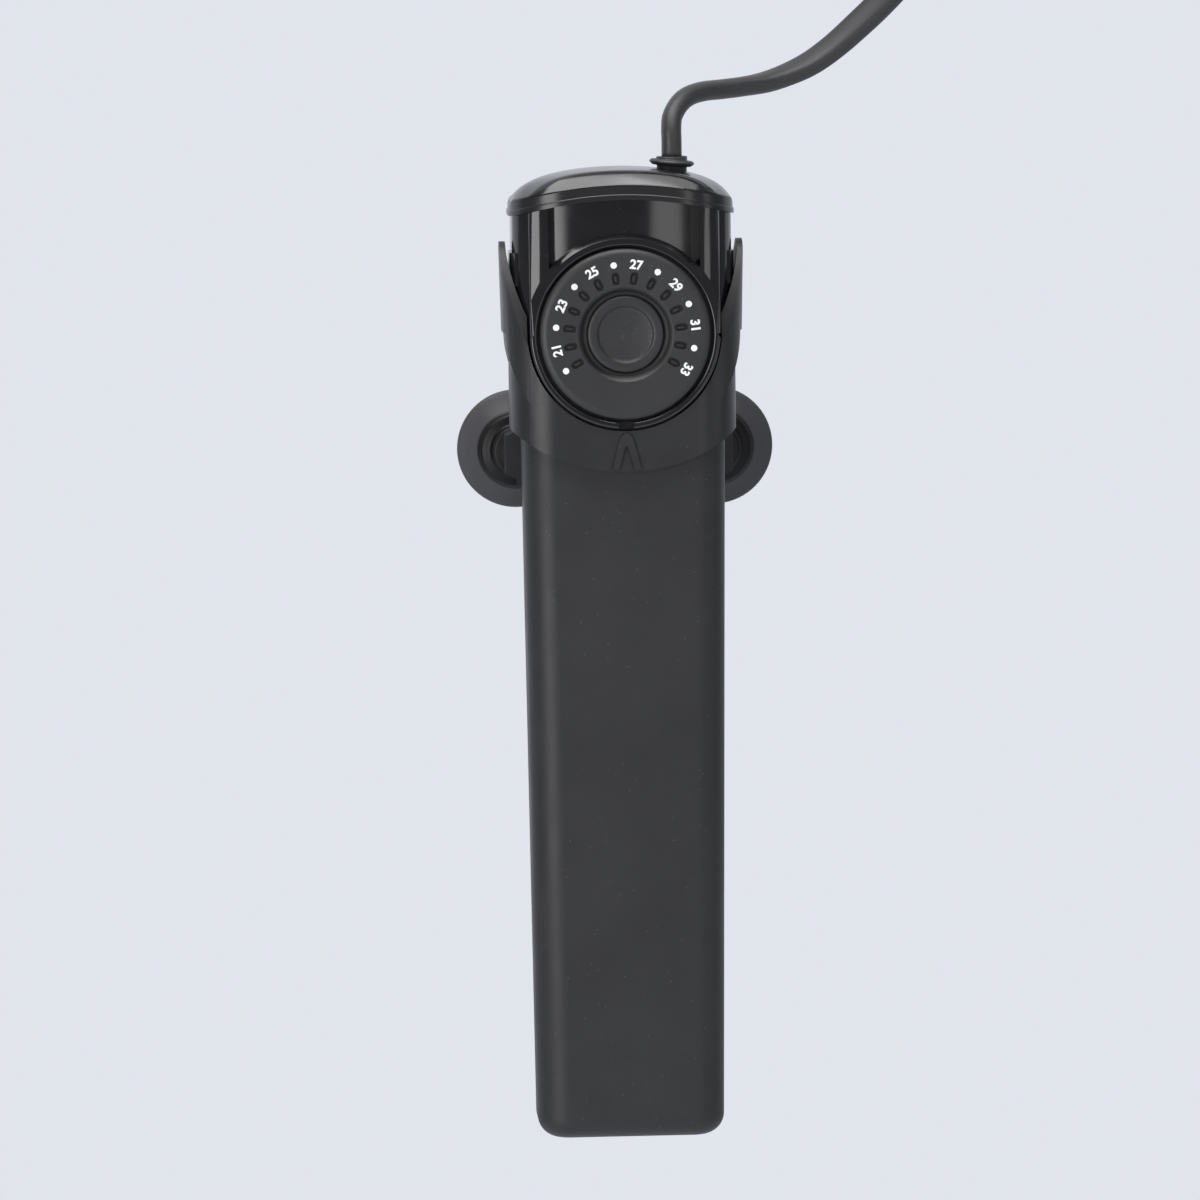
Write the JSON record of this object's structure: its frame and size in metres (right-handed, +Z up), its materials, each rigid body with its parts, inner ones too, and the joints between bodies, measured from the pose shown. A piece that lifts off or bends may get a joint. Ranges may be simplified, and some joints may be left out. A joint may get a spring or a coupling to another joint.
{
  "type": "aquarium heater",
  "caption": "Submersible aquarium heater: flat dark sleeve, thermostat dial in the head, spring clip with wings on suction cups, and a coiled mains lead with a plug.",
  "frame": {"origin": "on the pane that the suction cups hold, midway between the two cups' axes", "axes": "+Y into the pane, so the dial faces -Y; +Z up along the sleeve, towards the cord; +X to the right as seen from the front"},
  "size_m": [0.1304, 0.0443, 0.36],
  "materials": {
    "clip_plastic": "satin",
    "cup_rubber": "satin",
    "sleeve_plastic": "satin",
    "head_plastic": "semi-gloss",
    "cap_plastic": "semi-gloss",
    "dial_plastic": "satin",
    "cord_rubber": "satin",
    "seal_rubber": "matt",
    "thermoset": "matt",
    "steel": "bright",
    "ceramic": "matt fired ceramic",
    "resistance_wire": "oxidised",
    "silicone": "matt",
    "mica_board": "matt",
    "bimetal": "bright",
    "copper": "bright",
    "contact_silver": "bright",
    "magnet": "satin",
    "capacitor_film": "gloss",
    "brass": "satin",
    "live_insulation": "satin",
    "neutral_insulation": "satin",
    "tie_plastic": "satin",
    "plug_plastic": "satin",
    "pin_brass": "nickel-bright"
  },
  "bodies": {
    "holder": {"holder_clip": "clip_plastic"},
    "left_cup": {"left_suction_cup": "cup_rubber"},
    "right_cup": {"right_suction_cup": "cup_rubber"},
    "heater": {"body_tube": "sleeve_plastic", "head_housing": "head_plastic", "top_cap": "cap_plastic", "cap_seal": "seal_rubber", "cord_grommet": "cord_rubber", "cord_inner_end": "cord_rubber", "cable_clamp": "thermoset", "clamp_screws": "steel", "heater_core": "ceramic", "resistance_winding": "resistance_wire", "foot_cushion": "silicone", "top_cushion": "silicone", "heat_barrier": "mica_board", "thermal_fuse": "steel", "thermostat_frame": "thermoset", "bimetal_strip": "bimetal", "contact_spring": "copper", "contact_points": "contact_silver", "snap_magnet": "magnet", "suppression_capacitor": "capacitor_film", "lever_pin": "steel", "spindle_oring": "seal_rubber", "live_wire": "live_insulation", "neutral_wire": "neutral_insulation", "cord_lead": "cord_rubber", "cord_coil": "cord_rubber", "cord_tail": "cord_rubber", "cord_tie": "tie_plastic", "plug_relief": "plug_plastic", "plug_body": "plug_plastic", "plug_pins": "pin_brass"},
    "dial": {"dial_knob": "dial_plastic", "dial_spindle": "brass", "retaining_washer": "steel"},
    "nut": {"adjusting_nut": "brass"},
    "set_lever": {"set_lever": "brass"}
  },
  "joints": [
    {"name": "heater_lift", "type": "slide", "parent": "holder", "child": "heater", "axis": [0, 0, 1], "range_m": [0, 0.15]},
    {"name": "dial_turn", "type": "hinge", "parent": "heater", "child": "dial", "pos_m": [0, -0.04, 0.0276], "axis": [0, -1, 0], "range_deg": [0, 300]},
    {"name": "nut_travel", "type": "slide", "parent": "heater", "child": "nut", "axis": [0, 1, 0], "range_m": [0, 0.0021]},
    {"name": "set_lever_tilt", "type": "hinge", "parent": "heater", "child": "set_lever", "pos_m": [0.012, -0.02325, 0.0276], "axis": [0, 0, -1], "range_deg": [0, 10]},
    {"name": "left_cup_turn", "type": "hinge", "parent": "holder", "child": "left_cup", "pos_m": [-0.0216, -0.01, 0], "axis": [0, -1, 0], "continuous": true},
    {"name": "right_cup_turn", "type": "hinge", "parent": "holder", "child": "right_cup", "pos_m": [0.0216, -0.01, 0], "axis": [0, -1, 0], "continuous": true}
  ],
  "couplings": [
    {"joint": "nut_travel", "follows": "dial_turn", "m_per_rad": 0.000382},
    {"joint": "set_lever_tilt", "follows": "dial_turn", "ratio": 0.0318}
  ]
}
